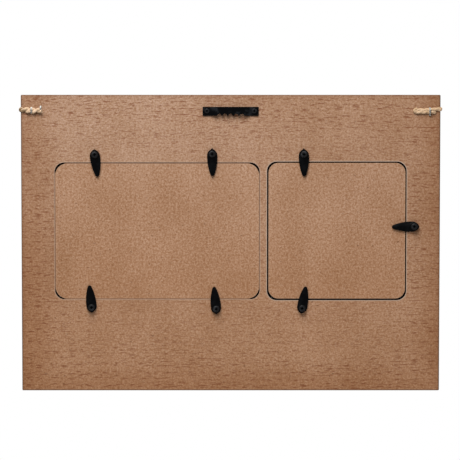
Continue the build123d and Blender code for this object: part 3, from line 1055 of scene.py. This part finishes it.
def add_hair(vertices, faces, spine):
    """A thin three-sided fibre along a spine, tapering to its end, unless it would lie in the board."""
    if any(min(into_board(spot)) > -hair_clearance for spot in spine):
        return
    rings = []
    for index, (spot, (side, up)) in enumerate(zip(spine, square_frames(spine))):
        radius = hair_radius * (1 - hair_taper * index / len(spine))
        angles = [math.tau * step / 3 for step in range(3)]
        rings.append([spot + radius * on_circle(angle, side, up) for angle in angles])
    close_tube(vertices, faces, rings)


def loose_hairs(points, count, seed):
    """Fibres that have worked loose along a line of twine and lie along it, bent away from it."""
    draw = random.Random(seed)
    frames = square_frames(points)
    vertices, faces = [], []
    for _ in range(count):
        index = draw.randrange(hair_span, len(points) - hair_span)
        side, up = frames[index]
        outward = on_circle(draw.uniform(0, math.tau), side, up)
        onward = (points[index + hair_span] - points[index - hair_span]).normalized() * draw.choice((-1, 1))
        across = onward.cross(outward) * draw.uniform(*hair_bend) * MM
        length = draw.uniform(*hair_length) * MM
        rise = draw.uniform(*hair_rise) * MM
        root = press(points[index] + outward * hair_root)
        spine = []
        for step in range(hair_steps + 1):
            share = step / hair_steps
            bent = outward * rise * share**1.6 + across * share * share
            spine.append(root + onward * length * share + bent)
        add_hair(vertices, faces, spine)
    return vertices, faces


def frayed_cut(points, count, seed):
    """Fibres that stick out of the cut end of the twine, mostly along it and a little downwards."""
    draw = random.Random(seed)
    outward = (points[0] - points[fray_span]).normalized()
    vertices, faces = [], []
    for _ in range(count):
        root = points[draw.randrange(0, fray_roots)].copy()
        root.y += draw.uniform(*fray_off) * MM
        root.z += draw.uniform(*fray_up) * MM
        length = draw.uniform(*fray_length) * MM
        sideways = Vector((0, draw.uniform(*fray_lean_off), draw.uniform(*fray_lean_up)))
        spine = []
        for step in range(fray_steps + 1):
            share = step / fray_steps
            spine.append(root + length * (outward * share + sideways * share * share))
        add_hair(vertices, faces, spine)
    return vertices, faces


def jute_yarn():
    material, tree, shader = new_material("jute_yarn", {"Roughness": 0.85, "Specular IOR Level": 0.15})
    place = place_on_object(tree)
    strands = noise(tree, place, (500, 1500, 2200), 4.0, 0.65)
    tufts = noise(tree, place, (260, 260, 260), 2.0)
    colour = mixed(tree, band(tree, strands, 0.42, 0.66), jute, jute_pale)
    colour = mixed(tree, band(tree, strands, 0.46, 0.28, 0.0, 0.55), colour, jute_dark)
    colour = mixed(tree, band(tree, tufts, 0.5, 0.75, 0.0, 0.45), colour, jute_pale)
    to_left = axes_of(tree, place)[0]
    weathered = band(tree, to_left, -weathered_from * panel_edge, -weathered_full * panel_edge)
    colour = mixed(tree, weathered, colour, jute_weathered, "MULTIPLY")
    # Painted shade on the twine's underside, reaching further up near the left edge and weaker at the
    # weathered right end.
    normal = add_node(tree, "ShaderNodeNewGeometry").outputs["Normal"]
    upward = axes_of(tree, normal)[2]
    painted_edge_share = band(tree, to_left, panel_edge - edge_shade_from, panel_edge - edge_shade_full, 0.0, 0.7)
    underside_shade = band(tree, maths(tree, "SUBTRACT", upward, painted_edge_share), 0.1, -0.8, 0.0, 0.85)
    underside_shade = maths(tree, "MULTIPLY", underside_shade, band(tree, weathered, 0.0, 1.0, 1.0, 0.35))
    colour = mixed(tree, underside_shade, colour, jute_underside_shade)
    tree.links.new(colour, shader.inputs["Base Color"])
    bump(tree, shader, strands, 0.7, 0.2 * MM)
    return material


jute_material = jute_yarn()
twine_points = smooth_line("twine_line", twine_route())
laid_twine = laid_plies(
    twine_points,
    seed=3,
    first_turn=lay_at_left_cut,
    start_sizes=left_cut_sizes,
    end_sizes=right_fold_sizes,
    end_looseness=right_end_looseness,
)
twine = add_piece("jute_twine", *laid_twine, jute_material, "frame", "jute")
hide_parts("front_twine")
tail_points = smooth_line("tail_line", [on_rear_face(*point, 1) for point in twine_tail])
laid_tail = laid_plies(
    tail_points,
    seed=40,
    first_turn=lay_at_tail,
    start_sizes=tail_start_sizes,
    end_sizes=tail_tip_sizes,
    end_looseness=tail_looseness,
)
tail = add_piece("jute_twine_tail", *laid_tail, jute_material, "frame", "jute")
hair_meshes = {
    "jute_loose_fibres": loose_hairs(twine_points, count=260, seed=5),
    "jute_tail_fibres": loose_hairs(tail_points, count=40, seed=6),
    "jute_frayed_cut": frayed_cut(twine_points, count=60, seed=7),
}
hair_pieces = [add_piece(name, *hairs, jute_material, "frame", "jute") for name, hairs in hair_meshes.items()]


# Staples: three wire staples driven over the twine's ends, with their crowns upright across it; the one at
# the cut sits deeper, and the twine has slipped over most of it. They are flattened steel wire, zinc plated
# and gone dull, with bends rounded; the flat of each crown is darker, a painted dark reflection.
staple_wire_half_width = 0.6 * MM
staple_wire_half_thickness = 0.45 * MM
staple_bend = 1.4 * MM
staple_leg = 5.0 * MM
staple_bend_steps = 6
wire_sides = 20
wire_squareness = 0.35
zinc = (0.48, 0.47, 0.43, 1)
zinc_dull = (0.34, 0.33, 0.30, 1)
crown_dark_reflection = (0.145, 0.147, 0.140, 1)


def staple_line(crown, rise):
    """The middle of the wire, leg to leg over the crown: along the crown, off the board, and its turn."""
    half = crown / 2 - staple_wire_half_thickness
    top = rise + staple_wire_half_thickness
    line = [(-half, -staple_leg, 0.0), (-half, top - staple_bend, 0.0)]
    for step in range(1, staple_bend_steps + 1):
        angle = math.radians(90 * step / staple_bend_steps)
        along = -half + staple_bend * (1 - math.cos(angle))
        line.append((along, top - staple_bend * (1 - math.sin(angle)), -angle))
    turned = [(-along, height, -math.pi - angle) for along, height, angle in reversed(line)]
    return line + turned


def squared(share):
    """A share of a circle's half width, moved out towards a square's."""
    return math.copysign(abs(share) ** wire_squareness, share)


def staple_mesh(crown, rise):
    """A flattened wire with eased edges, bent at both ends of the crown."""
    rings = []
    for along, height, angle in staple_line(crown, rise):
        outward = Vector((math.cos(angle + math.pi), -math.sin(angle + math.pi)))
        ring = []
        for step in range(wire_sides):
            turn = math.tau * (step + 0.5) / wire_sides
            off = outward * squared(math.sin(turn)) * staple_wire_half_thickness
            wide = squared(math.cos(turn)) * staple_wire_half_width
            ring.append(Vector((wide, along + off.x, height + off.y)))
        rings.append(ring)
    vertices, faces = [], []
    close_tube(vertices, faces, rings)
    return vertices, faces


def zinc_wire():
    material, tree, shader = new_material("zinc_plated_wire", {"Metallic": 1.0})
    place = place_on_object(tree)
    dull = noise(tree, place, (700, 700, 700), 3.0)
    # The flat of the crown, facing the rear, is painted darker as a dark reflection.
    on_crown = facing_rear(tree, 0.7, 0.97, "Normal")
    plating = mixed(tree, band(tree, dull, 0.4, 0.7), zinc, zinc_dull)
    tree.links.new(mixed(tree, on_crown, plating, crown_dark_reflection), shader.inputs["Base Color"])
    tree.links.new(band(tree, dull, 0.3, 0.7, 0.5, 0.65), shader.inputs["Roughness"])
    bump(tree, shader, noise(tree, place, (900, 900, 4000), 2.0), 0.1, 0.03 * MM)
    return material


staple_vertices, staple_faces = [], []
for side, inset, drop, crown, rise, _ in staple_places:
    wire_vertices, wire_faces = staple_mesh(crown, rise)
    middle = Vector((-side * (panel_edge - inset), 0, panel_high.z - drop))
    onto_board = Matrix.Translation(middle) @ seen_from_rear(0)
    first = len(staple_vertices)
    staple_vertices += [onto_board @ vertex for vertex in wire_vertices]
    staple_faces += [[first + index for index in face] for face in wire_faces]
staples = add_piece("wire_staples", staple_vertices, staple_faces, zinc_wire(), "frame", "staple_wire")
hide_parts("twine_staples")


# Studio: a pale floor some way under the hung frame, fading into white, with soft light from above on both
# sides. The camera looks at the rear from a little above, as the photograph does.
floor_below = 0.28
floor_radius = 1.1
floor_full = 0.35 * floor_radius
floor_end = 0.98 * floor_radius
floor_pale = (0.82, 0.82, 0.82, 1)
ambient = 0.18
view_distance = 1.433
view_elevation = 2.85
view_lens = 144.37
view_middle = Vector((0.0005, 0, -0.0901))


def fading_floor():
    material, tree, shader = new_material("pale_floor", {"Base Color": floor_pale, "Roughness": 0.8})
    from_middle = length_of(tree, place_on_object(tree))
    tree.links.new(band(tree, from_middle, floor_full, floor_end, 1.0, 0.0), shader.inputs["Alpha"])
    return material


bpy.ops.mesh.primitive_circle_add(
    vertices=96, radius=floor_radius, fill_type="NGON", location=(0, 0, panel_low.z - floor_below)
)
floor = bpy.context.object
floor.name = "floor"
floor.data.materials.append(fading_floor())


def soft_lamp(name, place, aim, size, power):
    lamp = bpy.data.lights.new(name, "AREA")
    lamp.shape = "DISK"
    lamp.size = size
    lamp.energy = power
    holder = bpy.data.objects.new(name, lamp)
    holder.location = place
    holder.rotation_euler = (Vector(aim) - Vector(place)).to_track_quat("-Z", "Y").to_euler()
    bpy.context.scene.collection.objects.link(holder)


soft_lamp("rear_lamp", place=(0.185, 0.62, 0.82), aim=(0.02, 0, -0.10), size=0.8, power=17.8)
soft_lamp("front_lamp", place=(-0.55, -1.15, 0.7), aim=(0, 0, -0.1), size=0.7, power=17.0)

world = bpy.data.worlds.new("studio")
world.use_nodes = True
bpy.context.scene.world = world
backdrop = world.node_tree
rays = add_node(backdrop, "ShaderNodeLightPath").outputs
seen_directly = maths(backdrop, "MAXIMUM", rays["Is Camera Ray"], rays["Is Glossy Ray"])
seen = maths(backdrop, "MAXIMUM", seen_directly, rays["Is Transmission Ray"])
strength = maths(backdrop, "MULTIPLY_ADD", seen, 1.0 - ambient, ambient)
feed(backdrop, backdrop.nodes["Background"].inputs["Color"], (1, 1, 1, 1))
feed(backdrop, backdrop.nodes["Background"].inputs["Strength"], strength)

camera_data = bpy.data.cameras.new("camera")
camera_data.lens = view_lens
camera_data.sensor_width = 36.0
camera = bpy.data.objects.new("camera", camera_data)
tilt = math.radians(view_elevation)
camera.location = view_middle + view_distance * Vector((0, math.cos(tilt), math.sin(tilt)))
camera.rotation_euler = (math.radians(90) - tilt, 0, math.pi)
bpy.context.scene.collection.objects.link(camera)
bpy.context.scene.camera = camera
bpy.context.scene.view_settings.view_transform = "Standard"
